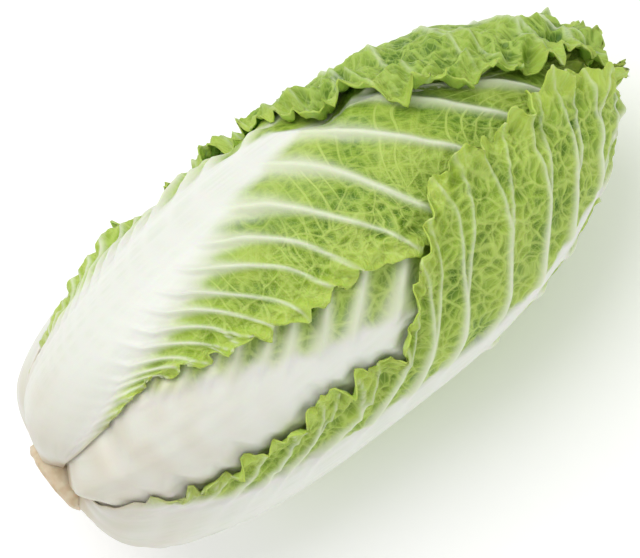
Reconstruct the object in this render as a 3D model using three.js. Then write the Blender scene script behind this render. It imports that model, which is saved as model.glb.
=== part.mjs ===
// A head of napa cabbage lying on its side, as cut and trimmed: six wrapper leaves, five inner
// leaves, the leaves folded tight in the heart, and the cut stem that they all grow from.
// Millimetres. +X runs from the cut stem to the leafy crown, +Z is up, and the origin is the middle
// of the flat spot under the lowest leaf, which the head rests on.
//
// Every leaf is drawn in the head's own coordinates: "along" is the distance walked over the head's
// outline from the middle of the cut stem, "azimuth" is the turn about the head's axis (0 is up,
// 90 is the front side, -Y), and "height" stands off the outline. Leaves are laid from the outermost
// one inwards, and each is pressed below those that already cover it.

import * as THREE from "three";
import { mergeVertices } from "three/addons/utils/BufferGeometryUtils.js";

// The head's outline: two superellipse arcs, blunt at the stem and tapering to the crown.
const bellyRadius = 68;
const restHeight = 67.7;
const restSpot = { x: -4, y: 0 };
const stemEnd = { reach: 147, alongPower: 2.2, radiusPower: 3 };
const crownEnd = { reach: 150, alongPower: 2.4, radiusPower: 1.5 };

// How closely the leaves pack: the gap between two, and how steeply one rises beyond another's edge.
const leafGap = 1.1;
const tuckSlope = 0.55;

// A leaf's blade, its veins with the hollows between them, and the scallops along its margin.
const bladeThickness = 1.2;
const ridgeRise = 1.7;
const ridgeHalfWidth = 3;
const hollowDepth = 1;
const scallop = 2;

// The stalk bows across its width, most below the first station and not at all past the second.
const stalkBow = { full: 80, gone: 200, middle: 1.5, fall: 5 };

// Shares of a leaf's width and length where its frilled margin and its tip begin.
const frillStart = 0.55;
const tipStart = 0.9;
const tipRuffle = 0.4;

// The cut stem.
const stem = { radius: 17, face: -145, rim: 4.5, sides: 30 };
const neck = { radius: 14.5, x: -136, top: -122, topRadius: 6 };

const degrees = Math.PI / 180;
const clamp = (value, low, high) => Math.min(high, Math.max(low, value));
const mix = (a, b, share) => a + (b - a) * share;

// A smooth curve through [position, value] points, flat beyond its ends.
function through(points, position) {
  const last = points.length - 1;
  if (position <= points[0][0]) return points[0][1];
  if (position >= points[last][0]) return points[last][1];
  let k = 0;
  while (position > points[k + 1][0]) k++;
  const slope = (i) => {
    if (i === 0 || i === last) return 0;
    return (points[i + 1][1] - points[i - 1][1]) / (points[i + 1][0] - points[i - 1][0]);
  };
  const span = points[k + 1][0] - points[k][0];
  const u = (position - points[k][0]) / span;
  const rise = points[k + 1][1] - points[k][1];
  const a = slope(k) * span - rise;
  const b = rise - slope(k + 1) * span;
  return mix(points[k][1], points[k + 1][1], u) + u * (1 - u) * (a * (1 - u) + b * u);
}

// The outline as closely spaced stations: x, radius, distance along and the outward normal.
function traceOutline(count) {
  const stations = [];
  for (let i = 0; i <= count; i++) {
    const turn = (Math.PI * i) / count;
    const end = i * 2 < count ? stemEnd : crownEnd;
    const x = -Math.sign(Math.cos(turn)) * end.reach * Math.abs(Math.cos(turn)) ** (2 / end.alongPower);
    const radius = bellyRadius * Math.abs(Math.sin(turn)) ** (2 / end.radiusPower);
    const before = stations[i - 1];
    const along = before ? before.along + Math.hypot(x - before.x, radius - before.radius) : 0;
    stations.push({ x, radius, along });
  }
  stations.forEach((station, i) => {
    const a = stations[Math.max(0, i - 1)];
    const b = stations[Math.min(count, i + 1)];
    const length = Math.hypot(b.x - a.x, b.radius - a.radius);
    station.outX = -(b.radius - a.radius) / length;
    station.outRadius = (b.x - a.x) / length;
  });
  return stations;
}

const outline = traceOutline(2000);
const outlineLength = outline[outline.length - 1].along;

function stationAt(along) {
  let low = 0;
  let high = outline.length - 1;
  while (high - low > 1) {
    const middle = (low + high) >> 1;
    if (outline[middle].along > along) high = middle;
    else low = middle;
  }
  const [a, b] = [outline[low], outline[high]];
  const share = clamp((along - a.along) / (b.along - a.along), 0, 1);
  return {
    x: mix(a.x, b.x, share),
    radius: mix(a.radius, b.radius, share),
    outX: mix(a.outX, b.outX, share),
    outRadius: mix(a.outRadius, b.outRadius, share),
  };
}

function place(along, azimuth, height) {
  const station = stationAt(along);
  const radius = Math.max(0.5, station.radius + height * station.outRadius);
  return [
    station.x + height * station.outX - restSpot.x,
    -radius * Math.sin(azimuth * degrees) - restSpot.y,
    restHeight + radius * Math.cos(azimuth * degrees),
  ];
}

// The greatest height that stays above the surface the head lies on.
function floorLimit(along, azimuth) {
  const down = -Math.cos(azimuth * degrees);
  if (down < 0.2) return 100;
  const station = stationAt(along);
  return (restHeight / down - station.radius) / Math.max(0.2, station.outRadius);
}

// The space left free under the leaves already laid, as a map over along and azimuth.
const mapStep = { along: 2, azimuth: 2 };
const mapRows = Math.ceil(outlineLength / mapStep.along) + 1;
const mapColumns = 360 / mapStep.azimuth;
const openHeight = 30;
const ceiling = Array.from({ length: mapRows }, () => new Float64Array(mapColumns).fill(openHeight));

const mapRow = (along) => clamp(Math.round(along / mapStep.along), 0, mapRows - 1);
const mapColumn = (azimuth) => {
  const column = Math.round(azimuth / mapStep.azimuth) % mapColumns;
  return (column + mapColumns) % mapColumns;
};

// Visits evenly spaced points of one cell of a grid of { along, azimuth, under } points.
function sampleCell(grid, j, i, visit) {
  const corners = [grid[j][i], grid[j][i + 1], grid[j + 1][i], grid[j + 1][i + 1]];
  const spread = (key) => {
    const values = corners.map((corner) => corner[key]);
    return Math.max(...values) - Math.min(...values);
  };
  const cellsCrossed = Math.max(spread("along") / mapStep.along, spread("azimuth") / mapStep.azimuth);
  const steps = 2 + Math.ceil(cellsCrossed);
  for (let a = 0; a <= steps; a++)
    for (let b = 0; b <= steps; b++) {
      const blend = (key) =>
        mix(
          mix(corners[0][key], corners[1][key], b / steps),
          mix(corners[2][key], corners[3][key], b / steps),
          a / steps,
        );
      visit(blend);
    }
}

// How far the flat faces of a cell dip below the curved surface that they stand for.
function cellDip(grid, j, i) {
  const corners = [grid[j][i], grid[j][i + 1], grid[j + 1][i], grid[j + 1][i + 1]];
  const mean = (values) => values.reduce((sum, value) => sum + value, 0) / values.length;
  const spots = corners.map((corner) => place(corner.along, corner.azimuth, corner.under));
  const key = (name) => mean(corners.map((corner) => corner[name]));
  const curved = place(key("along"), key("azimuth"), key("under"));
  return Math.hypot(...curved.map((value, axis) => value - mean(spots.map((spot) => spot[axis]))));
}

// Lowers the ceiling under a leaf, then lets it rise again at a gentle slope beyond the leaf's edge.
function lowerCeiling(grid) {
  for (let j = 0; j + 1 < grid.length; j++)
    for (let i = 0; i + 1 < grid[0].length; i++) {
      const dip = cellDip(grid, j, i);
      sampleCell(grid, j, i, (blend) => {
        const row = ceiling[mapRow(blend("along"))];
        const column = mapColumn(blend("azimuth"));
        row[column] = Math.min(row[column], blend("under") - dip);
      });
    }
  const pull = (j, i, fromJ, fromI, distance) => {
    if (fromJ < 0 || fromJ >= mapRows) return;
    const from = ceiling[fromJ][(fromI + mapColumns) % mapColumns];
    ceiling[j][i] = Math.min(ceiling[j][i], from + tuckSlope * distance);
  };
  for (let pass = 0; pass < 2; pass++)
    for (const step of [1, -1])
      for (let j = step > 0 ? 0 : mapRows - 1; j >= 0 && j < mapRows; j += step) {
        const round = stationAt(j * mapStep.along).radius * mapStep.azimuth * degrees;
        for (let n = 0; n < 2 * mapColumns; n++) {
          const i = step > 0 ? n % mapColumns : (2 * mapColumns - 1 - n) % mapColumns;
          pull(j, i, j - step, i, mapStep.along);
          pull(j, i, j, i - step, round);
        }
      }
}

// For each grid point, the lowest ceiling over the cells that meet there.
function ceilingOver(grid) {
  const limits = grid.map((row) => row.map(() => openHeight));
  for (let j = 0; j + 1 < grid.length; j++)
    for (let i = 0; i + 1 < grid[0].length; i++) {
      let lowest = openHeight;
      sampleCell(grid, j, i, (blend) => {
        lowest = Math.min(lowest, ceiling[mapRow(blend("along"))][mapColumn(blend("azimuth"))]);
      });
      for (const [a, b] of [[j, i], [j, i + 1], [j + 1, i], [j + 1, i + 1]])
        limits[a][b] = Math.min(limits[a][b], lowest);
    }
  return limits;
}

// A closed skin between two grids of points, its faces pointing out, cut into alike triangles on both.
function closeGrids(outer, inner) {
  const rows = outer.length;
  const columns = outer[0].length;
  const positions = [...outer.flat(), ...inner.flat()].flat();
  const index = [];
  const top = (j, i) => j * columns + i;
  const under = (j, i) => rows * columns + j * columns + i;
  const quad = (a, b, c, d) => index.push(a, b, c, a, c, d);
  for (let j = 0; j + 1 < rows; j++)
    for (let i = 0; i + 1 < columns; i++) {
      quad(top(j, i), top(j, i + 1), top(j + 1, i + 1), top(j + 1, i));
      index.push(under(j, i), under(j + 1, i + 1), under(j, i + 1));
      index.push(under(j, i), under(j + 1, i), under(j + 1, i + 1));
    }
  for (let j = 0; j + 1 < rows; j++) {
    quad(top(j, 0), top(j + 1, 0), under(j + 1, 0), under(j, 0));
    quad(top(j + 1, columns - 1), top(j, columns - 1), under(j, columns - 1), under(j + 1, columns - 1));
  }
  for (let i = 0; i + 1 < columns; i++) {
    quad(top(0, i + 1), top(0, i), under(0, i), under(0, i + 1));
    quad(top(rows - 1, i), top(rows - 1, i + 1), under(rows - 1, i + 1), under(rows - 1, i));
  }
  const geometry = new THREE.BufferGeometry();
  geometry.setAttribute("position", new THREE.Float32BufferAttribute(positions, 3));
  geometry.setIndex(index);
  return geometry;
}

// How far beyond its start at the rib each row of a leaf reaches at the margin.
const sweep = [[20, 0], [50, 14], [110, 34], [170, 46], [215, 46], [250, 32], [285, 10], [325, -6]];

// Where the rows of a leaf leave its rib: a foot, a crest and a foot at every vein, and one between.
function rowStations(leaf) {
  const rows = [];
  for (let k = 0; k < leaf.stalkCells; k++) {
    const share = (k / leaf.stalkCells) ** 1.5;
    rows.push({ along: mix(leaf.start, leaf.veins[0] - ridgeHalfWidth, share), crest: 0 });
  }
  leaf.veins.forEach((vein, k) => {
    rows.push({ along: vein - ridgeHalfWidth, crest: 0 });
    rows.push({ along: vein, crest: 1 });
    rows.push({ along: vein + ridgeHalfWidth, crest: 0 });
    const next = leaf.veins[k + 1] ?? leaf.tip;
    if (next - vein > 5 * ridgeHalfWidth) rows.push({ along: (vein + next) / 2, crest: 0, between: 1 });
  });
  rows.push({ along: leaf.tip, crest: 0 });
  return rows;
}

// One leaf as a grid of points, each row running from the left margin over the rib to the right margin.
const ribColumns = [-1, -0.55, 0, 0.55, 1];

function layLeaf(leaf) {
  const shares = [];
  for (let i = leaf.bladeCells; i > 0; i--) shares.push({ side: -1, blade: i / leaf.bladeCells });
  for (const rib of ribColumns) shares.push({ side: Math.sign(rib) || 1, rib: Math.abs(rib) });
  for (let i = 1; i <= leaf.bladeCells; i++) shares.push({ side: 1, blade: i / leaf.bladeCells });

  const grid = rowStations(leaf).map((row) => {
    const root = stationAt(row.along);
    const ribAzimuth = through(leaf.ribPath, row.along);
    const rowShare = (row.along - leaf.start) / (leaf.tip - leaf.start);
    return shares.map((share, i) => {
      const edgeAlong = row.along + through(sweep, row.along);
      const marginPath = share.side < 0 ? leaf.left : leaf.right;
      const margin = through(marginPath, edgeAlong);
      const room = Math.abs(margin - ribAzimuth) * degrees * stationAt(edgeAlong).radius;
      const ribHalf = Math.min(through(leaf.ribHalfWidth, row.along), 0.8 * room);
      const ribTurn = ribHalf / root.radius / degrees;
      const outward = share.blade ?? 0;
      const across = share.rib ?? 1;
      const lead = 1 - (1 - outward) ** 1.6;
      const along = row.along + (edgeAlong - row.along) * lead;
      const notch = (scallop * (row.crest - (row.between ?? 0))) / stationAt(edgeAlong).radius / degrees;
      const azimuth = share.blade
        ? mix(ribAzimuth + share.side * ribTurn, margin + share.side * notch, outward)
        : ribAzimuth + share.side * across * ribTurn;

      const stalk = clamp((stalkBow.gone - row.along) / (stalkBow.gone - stalkBow.full), 0, 1);
      const turnShare = Math.abs(azimuth - ribAzimuth) / Math.max(1, Math.abs(margin - ribAzimuth));
      const bow = stalk * (stalkBow.middle - stalkBow.fall * turnShare ** 2);
      const frillShare = clamp((outward - frillStart) / (1 - frillStart), 0, 1) ** 1.5;
      const tipShare = clamp((rowShare - tipStart) / (1 - tipStart), 0, 1);
      const waveTurn = (edgeAlong / leaf.frill.length) * 2 * Math.PI + share.side * leaf.frill.phase;
      const wave = 0.5 + 0.5 * Math.sin(waveTurn);
      const tipWave = tipRuffle * (i % 2);
      const frill = leaf.frill.rise * Math.max(frillShare * wave, tipShare * tipWave);
      const flare = (share.side < 0 ? leaf.flareLeft : leaf.flareRight) ?? [[0, 0]];
      const lift = through(leaf.lift, along) + through(flare, along) * frillShare;
      const sunk = hollowDepth * (row.between ?? 0) * Math.sin(Math.PI * clamp(outward, 0, 1));
      const vein = ridgeRise * row.crest * (share.blade ? (1 - outward) ** 0.6 : across ** 4);
      const ribRise = through(leaf.ribRise, row.along) * (1 - across ** 2);
      const ribFlesh = through(leaf.ribThickness, row.along) * (1 - across ** 2) ** 0.6;
      const base = lift + bow - sunk + frill;
      return { along, azimuth, base, raised: base + ribRise + vein, flesh: bladeThickness + ribFlesh };
    });
  });

  const limits = ceilingOver(grid);
  grid.forEach((row, j) =>
    row.forEach((point, i) => {
      const free = Math.min(limits[j][i] - leafGap, floorLimit(point.along, point.azimuth));
      point.over = Math.min(point.raised, free);
      point.under = Math.min(point.base, point.over) - point.flesh;
    }),
  );
  lowerCeiling(grid);
  return closeGrids(
    grid.map((row) => row.map((point) => place(point.along, point.azimuth, point.over))),
    grid.map((row) => row.map((point) => place(point.along, point.azimuth, point.under))),
  );
}

// Widths and thicknesses of a full wrapper leaf's white rib, at distances along the head.
const wrapperRib = {
  ribHalfWidth: [
    [20, 11], [50, 22], [85, 28], [125, 27], [165, 20], [200, 14], [235, 7], [270, 4], [330, 2],
  ],
  ribRise: [[20, 1], [60, 2.5], [150, 2], [220, 1.5], [300, 0.6]],
  ribThickness: [[20, 6.5], [60, 8], [110, 7], [170, 5], [230, 3], [300, 1]],
};

const innerRib = {
  ribHalfWidth: [[20, 9], [60, 18], [120, 20], [180, 14], [240, 7], [300, 3]],
  ribRise: [[20, 0.5], [200, 1], [300, 0.5]],
  ribThickness: [[20, 3.5], [80, 4], [170, 3], [240, 1.5], [300, 0.6]],
};

// The wrapper leaves, outermost first. Azimuths of ribs and margins are in degrees at distances along.
const wrapperLeaves = [
  {
    name: "leaf_underside",
    colour: 0xd3dfae,
    ...wrapperRib,
    start: 22,
    tip: 344,
    ribPath: [[22, 161], [70, 170], [130, 178], [200, 180], [320, 180]],
    left: [[22, 128], [70, 126], [140, 125], [200, 121], [240, 108], [300, 110], [345, 142]],
    right: [[22, 192], [70, 206], [140, 216], [200, 220], [240, 232], [300, 234], [345, 212]],
    lift: [[0, 0]],
    frill: { rise: 2.5, length: 27, phase: 0.4 },
    veins: [104, 138, 172, 208, 248, 290],
    stalkCells: 4,
    bladeCells: 5,
  },
  {
    name: "leaf_front_side",
    colour: 0xb4cf7a,
    ...wrapperRib,
    start: 22,
    tip: 348,
    ribPath: [
      [22, 92], [52, 96], [86, 106], [124, 107], [176, 102], [214, 97], [250, 91], [284, 87], [320, 84],
    ],
    left: [
      [22, 52], [49, 50], [65, 57], [76, 63], [96, 65], [122, 60], [159, 58], [182, 62], [196, 52],
      [208, 40], [224, 27], [240, 17], [269, 19], [300, 14], [324, 26], [340, 56],
    ],
    right: [[22, 130], [70, 136], [140, 140], [200, 146], [240, 158], [300, 160], [330, 140], [350, 118]],
    lift: [[0, 2.5], [90, 2.5], [160, -0.5], [230, 1], [300, 2], [350, -1]],
    flareLeft: [[0, 0], [180, 0], [210, 2.5], [300, 3]],
    frill: { rise: 4.5, length: 25, phase: 1.1 },
    veins: [92, 116, 140, 164, 188, 212, 240, 274, 312],
    stalkCells: 4,
    bladeCells: 5,
  },
  {
    name: "leaf_rear_side",
    colour: 0xb0cc76,
    ...wrapperRib,
    start: 22,
    tip: 350,
    ribPath: [[22, -86], [60, -94], [120, -98], [200, -96], [280, -86], [320, -72], [350, -50]],
    left: [
      [22, -116], [80, -128], [160, -132], [210, -138], [250, -150], [300, -148], [330, -118], [350, -80],
    ],
    right: [
      [22, -56], [60, -66], [110, -72], [150, -74], [188, -71], [205, -48], [217, -37], [236, -30],
      [245, -22], [268, -15], [289, -9], [303, -2], [330, 12], [343, 60], [352, 80],
    ],
    lift: [[0, 1], [80, 1], [150, -1], [190, -0.5], [230, 2.5], [300, 3], [330, 2], [350, 0]],
    flareRight: [[0, 0], [190, 0], [220, 2.5], [300, 3.5]],
    frill: { rise: 4.5, length: 26, phase: 2.3 },
    veins: [100, 130, 160, 188, 214, 242, 274, 312],
    stalkCells: 4,
    bladeCells: 5,
  },
  {
    name: "leaf_lower_rear",
    colour: 0xc6d998,
    ...wrapperRib,
    start: 22,
    tip: 346,
    ribPath: [[22, 222], [90, 224], [200, 226], [320, 224]],
    left: [[22, 190], [70, 186], [140, 182], [200, 176], [250, 160], [310, 166], [348, 200]],
    right: [[22, 254], [70, 262], [140, 266], [200, 272], [250, 286], [310, 284], [348, 262]],
    lift: [[0, 0]],
    frill: { rise: 3, length: 28, phase: 0.9 },
    veins: [104, 138, 172, 208, 248, 290],
    stalkCells: 4,
    bladeCells: 5,
  },
  {
    name: "leaf_top_broad",
    colour: 0xc9dc98,
    ...wrapperRib,
    start: 22,
    tip: 330,
    ribPath: [
      [22, -12], [50, -13], [82, -16], [109, -20], [140, -26], [167, -30], [194, -32], [217, -30],
      [249, -24], [300, -8],
    ],
    left: [
      [22, -48], [60, -58], [82, -61], [112, -62], [143, -64], [175, -66], [205, -64], [230, -72],
      [300, -80], [340, -70],
    ],
    right: [
      [22, 15], [50, 17], [94, 14], [118, 20], [140, 25], [163, 29], [185, 29], [199, 31], [215, 37],
      [250, 60], [300, 72], [340, 60],
    ],
    lift: [[0, 0.5], [200, 0.5], [300, -1]],
    flareLeft: [[0, 1], [60, 4], [110, 4], [180, 2.5], [230, 0]],
    flareRight: [[0, 1], [120, 2], [210, 2.5], [250, 0]],
    frill: { rise: 4, length: 24, phase: 0.3 },
    veins: [78, 96, 114, 133, 154, 178, 204, 234, 268],
    stalkCells: 4,
    bladeCells: 5,
  },
  {
    name: "leaf_top_front",
    colour: 0xdfe6c6,
    ...wrapperRib,
    start: 22,
    tip: 326,
    ribPath: [[22, 34], [60, 33], [112, 35], [160, 38], [230, 44], [320, 50]],
    left: [[22, 2], [60, -4], [120, -8], [200, -14], [250, -24], [320, -30]],
    right: [[22, 68], [60, 76], [120, 80], [200, 86], [250, 104], [320, 110]],
    lift: [[0, -0.5], [140, -0.5], [220, -3], [300, -4]],
    frill: { rise: 3, length: 26, phase: 1.7 },
    veins: [88, 112, 138, 166, 196, 230, 270],
    stalkCells: 4,
    bladeCells: 5,
  },
];

// The inner leaves repeat one shape round the head, each one a little further in.
const innerLeafAzimuths = [5, 149, 293, 77, 221];
const innerLeaves = innerLeafAzimuths.map((azimuth, k) => {
  const spread = (points) => points.map(([along, turn]) => [along, azimuth + turn]);
  return {
    name: `leaf_inner_${k + 1}`,
    colour: 0xd9e0a4,
    ...innerRib,
    start: 30,
    tip: 336 + 2 * (k % 3),
    ribPath: [[30, azimuth], [330, azimuth + 6]],
    left: spread([[30, -34], [120, -46], [210, -56], [270, -66], [340, -60]]),
    right: spread([[30, 34], [120, 46], [210, 60], [270, 72], [340, 70]]),
    lift: [[0, -9], [200, -8], [300, -7 - k], [340, -5 - k]],
    frill: { rise: 4, length: 30, phase: k },
    veins: [150, 215, 280],
    stalkCells: 5,
    bladeCells: 3,
  };
});

// The heart: the small leaves folded tight inside, with their ruffled tips standing out at the crown.
const heart = {
  colour: 0xe0dd93,
  start: 52,
  end: 340,
  rows: 20,
  sides: 24,
  sink: [[52, -16], [120, -17], [260, -15], [340, -12]],
  foldDepth: 2.5,
  folds: 3,
  foldTwist: 160,
  ruffle: 3,
  ruffleStart: 280,
};

function foldHeart() {
  const grid = [];
  for (let j = 0; j <= heart.rows; j++) {
    const along = mix(heart.start, heart.end, j / heart.rows);
    const row = [];
    for (let i = 0; i <= heart.sides; i++) {
      const azimuth = (360 * i) / heart.sides;
      const turn = (azimuth / 360) * heart.folds + along / heart.foldTwist;
      const fold = heart.foldDepth * (turn - Math.floor(turn));
      const crownShare = clamp((along - heart.ruffleStart) / (heart.end - heart.ruffleStart), 0, 1);
      const ruffle = heart.ruffle * crownShare * (i % 2);
      row.push({ along, azimuth, over: through(heart.sink, along) - fold + ruffle });
    }
    row[heart.sides].over = row[0].over;
    grid.push(row);
  }
  const limits = ceilingOver(grid);
  grid.forEach((row, j) => {
    row.forEach((point, i) => {
      point.over = Math.min(point.over, limits[j][i] - leafGap);
    });
    row[0].over = row[heart.sides].over = Math.min(row[0].over, row[heart.sides].over);
  });

  const rings = grid.map((row) =>
    row.slice(0, -1).map((point) => place(point.along, point.azimuth, point.over)),
  );
  const middle = (ring) => {
    const x = ring.reduce((sum, point) => sum + point[0], 0) / ring.length;
    return [x, -restSpot.y, restHeight];
  };
  const positions = [...rings.flat(), middle(rings[0]), middle(rings[rings.length - 1])].flat();
  const index = [];
  const at = (j, i) => j * heart.sides + (i % heart.sides);
  const ends = [rings.length * heart.sides, rings.length * heart.sides + 1];
  for (let i = 0; i < heart.sides; i++) {
    for (let j = 0; j + 1 < rings.length; j++) {
      index.push(at(j, i), at(j, i + 1), at(j + 1, i + 1));
      index.push(at(j, i), at(j + 1, i + 1), at(j + 1, i));
    }
    index.push(ends[0], at(0, i + 1), at(0, i));
    index.push(ends[1], at(rings.length - 1, i), at(rings.length - 1, i + 1));
  }
  const geometry = new THREE.BufferGeometry();
  geometry.setAttribute("position", new THREE.Float32BufferAttribute(positions, 3));
  geometry.setIndex(index);
  return geometry;
}

// The stem: cut flat at the foot, ridged where leaves were trimmed off, narrowing into the head.
function cutStem() {
  const profile = [
    [0, stem.face],
    [stem.radius - 1.5, stem.face],
    [stem.radius, stem.face + 1],
    [stem.radius, stem.face + stem.rim],
    [neck.radius, stem.face + 1.5 * stem.rim],
    [neck.radius - 2, neck.x],
    [neck.topRadius, neck.top],
    [0, neck.top],
  ].map(([radius, x]) => new THREE.Vector2(radius, x));
  const geometry = new THREE.LatheGeometry(profile, stem.sides);
  geometry.rotateZ(-Math.PI / 2);
  geometry.translate(-restSpot.x, -restSpot.y, restHeight);
  return geometry;
}

const head = new THREE.Group();

function addPiece(name, geometry, colour) {
  geometry.deleteAttribute("normal");
  geometry.deleteAttribute("uv");
  const solid = mergeVertices(geometry);
  solid.computeVertexNormals();
  const material = new THREE.MeshStandardMaterial({ color: colour, roughness: 0.45, metalness: 0 });
  const mesh = new THREE.Mesh(solid, material);
  mesh.name = name;
  head.add(mesh);
}

for (const leaf of [...wrapperLeaves, ...innerLeaves]) addPiece(leaf.name, layLeaf(leaf), leaf.colour);
addPiece("heart_leaves", foldHeart(), heart.colour);
addPiece("stem_butt", cutStem(), 0xd8c9a6);

export default head;
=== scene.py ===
import math

import bmesh
import bpy
import numpy as np
from mathutils import Matrix, Vector


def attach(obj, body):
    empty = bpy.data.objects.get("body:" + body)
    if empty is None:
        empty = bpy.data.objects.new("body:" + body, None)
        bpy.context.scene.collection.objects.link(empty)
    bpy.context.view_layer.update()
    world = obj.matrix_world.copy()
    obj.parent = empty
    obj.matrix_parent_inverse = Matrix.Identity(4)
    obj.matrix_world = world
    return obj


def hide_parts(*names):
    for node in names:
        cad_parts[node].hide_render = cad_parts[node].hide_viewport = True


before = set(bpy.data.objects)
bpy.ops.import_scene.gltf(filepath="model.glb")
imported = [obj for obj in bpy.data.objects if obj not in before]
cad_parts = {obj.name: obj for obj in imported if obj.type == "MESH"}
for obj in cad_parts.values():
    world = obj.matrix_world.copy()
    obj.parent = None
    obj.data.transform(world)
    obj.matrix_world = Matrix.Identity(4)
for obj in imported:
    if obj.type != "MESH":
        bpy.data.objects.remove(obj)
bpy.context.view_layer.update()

print("solids loaded:", len(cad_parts), "nodes")

mm = 0.001
deg = math.pi / 180

# The net of small veins, in mm.
netCell = 7.2       # across one cell
netRandomness = 0.95
wideCell = 14.0     # across the cells that the thicker lines close
fineCell = 2.6      # across the finest cells, coarser than real ones so that they show
slantGap = 7.5      # between the small veins that slant from one lateral to the next

# The head's own coordinates. A point is given by the distance along the head's outline from the middle of
# the stem, the turn about its axis (0 is up, 90 is the front side) and the height off the outline, all in
# millimetres and degrees.
headForm = {
    "bellyRadius": 68.0,
    "restHeight": 67.7,         # height of the head's axis
    "restX": -4.0,              # where the flat spot is on the axis
    "stemReach": 147.0,         # from the widest place to the stem's end
    "stemPowers": (2.2, 3.0),   # superellipse powers along the axis and across it
    "crownReach": 150.0,
    "crownPowers": (2.4, 1.5),
}

turns = np.linspace(0, math.pi, 6001)
isStemEnd = turns < math.pi / 2
powerAlong = np.where(isStemEnd, headForm["stemPowers"][0], headForm["crownPowers"][0])
powerRadius = np.where(isStemEnd, headForm["stemPowers"][1], headForm["crownPowers"][1])
reachX = np.where(isStemEnd, headForm["stemReach"], headForm["crownReach"])
outlineX = -np.sign(np.cos(turns)) * reachX * np.abs(np.cos(turns)) ** (2 / powerAlong)
outlineR = headForm["bellyRadius"] * np.abs(np.sin(turns)) ** (2 / powerRadius)
outlineS = np.concatenate([[0], np.cumsum(np.hypot(np.diff(outlineX), np.diff(outlineR)))])
slopeX, slopeR = np.gradient(outlineX), np.gradient(outlineR)
slopeLength = np.hypot(slopeX, slopeR)
normalX, normalR = -slopeR / slopeLength, slopeX / slopeLength


def radiusAt(along):
    return np.interp(along, outlineS, outlineR)


def place(along, azimuth, height):
    nx, nr = np.interp(along, outlineS, normalX), np.interp(along, outlineS, normalR)
    radius = np.maximum(0.5, radiusAt(along) + height * nr)
    x = np.interp(along, outlineS, outlineX) + height * nx - headForm["restX"]
    y = -radius * np.sin(azimuth * deg)
    z = headForm["restHeight"] + radius * np.cos(azimuth * deg)
    return np.stack([x, y, z], axis=-1)


def outward(along, azimuth):
    nx, nr = np.interp(along, outlineS, normalX), np.interp(along, outlineS, normalR)
    return np.stack([nx, -nr * np.sin(azimuth * deg), nr * np.cos(azimuth * deg)], axis=-1)


def floorLimit(along, azimuth):
    # The height at which a point would touch the floor, or one out of reach for the upper side.
    down = -np.cos(azimuth * deg)
    nr = np.maximum(0.2, np.interp(along, outlineS, normalR))
    room = (headForm["restHeight"] / np.maximum(down, 0.2) - radiusAt(along)) / nr
    return np.where(down < 0.2, 100.0, room)


def through(points, position):
    # A smooth curve through (position, value) points, level at its ends and beyond them.
    knots = np.array(points, float)
    position = np.asarray(position, float)
    if len(knots) == 1:
        return np.full(position.shape, knots[0, 1])
    slope = np.zeros(len(knots))
    slope[1:-1] = (knots[2:, 1] - knots[:-2, 1]) / (knots[2:, 0] - knots[:-2, 0])
    at = np.clip(position, knots[0, 0], knots[-1, 0])
    k = np.clip(np.searchsorted(knots[:, 0], at, side="right") - 1, 0, len(knots) - 2)
    span = knots[k + 1, 0] - knots[k, 0]
    u = (at - knots[k, 0]) / span
    rise = knots[k + 1, 1] - knots[k, 1]
    a, b = slope[k] * span - rise, rise - slope[k + 1] * span
    return knots[k, 1] * (1 - u) + knots[k + 1, 1] * u + u * (1 - u) * (a * (1 - u) + b * u)


def ease(low, high, value):
    share = np.clip((value - low) / (high - low), 0, 1)
    return share * share * (3 - 2 * share)


def ripple(position, wavelengths, seed):
    # Waves along a line, between -1 and 1.
    draw = np.random.default_rng(seed)
    total = np.zeros(np.shape(position))
    for wavelength in wavelengths:
        around = position * math.tau / (wavelength * draw.uniform(0.9, 1.1))
        total += np.sin(around + draw.uniform(0, 6.28))
    return total / len(wavelengths)


def lobes(position, wavelength, seed):
    # Rounded lobes with narrow notches between them, as along a leaf's margin.
    notchRounding, middle = 0.04, 0.66
    draw = np.random.default_rng(seed)
    drift = 0.9 * np.sin(position / wavelength * draw.uniform(0.8, 1.1) + draw.uniform(0, 6.28))
    wave = np.sin(position * math.pi / wavelength + drift + draw.uniform(0, 6.28))
    return np.sqrt(wave ** 2 + notchRounding) - middle


def swell(spots, wavelength, seed, waves=7):
    # Soft uneven swells in space, from waves in seeded directions.
    draw = np.random.default_rng(seed)
    total = np.zeros(spots.shape[:-1])
    for _ in range(waves):
        direction = draw.normal(size=3)
        direction /= np.linalg.norm(direction)
        phase = draw.uniform(0, 6.28)
        total += np.sin(spots @ direction * 2 * math.pi / (wavelength * draw.uniform(0.75, 1.3)) + phase)
    return total / math.sqrt(waves)


# Room left under the leaves already laid: the leaves are laid from the outermost one inwards.
mapStep = 2.0       # mm along, and degrees round
openRoom = 30.0     # height left where nothing lies above
tuckSlope = 0.55    # mm of height for each mm that a leaf comes out from under the next one
spreadRounds = 60   # at most
ceiling = np.full((int(outlineS[-1] / mapStep) + 2, int(360 / mapStep)), openRoom)


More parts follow.
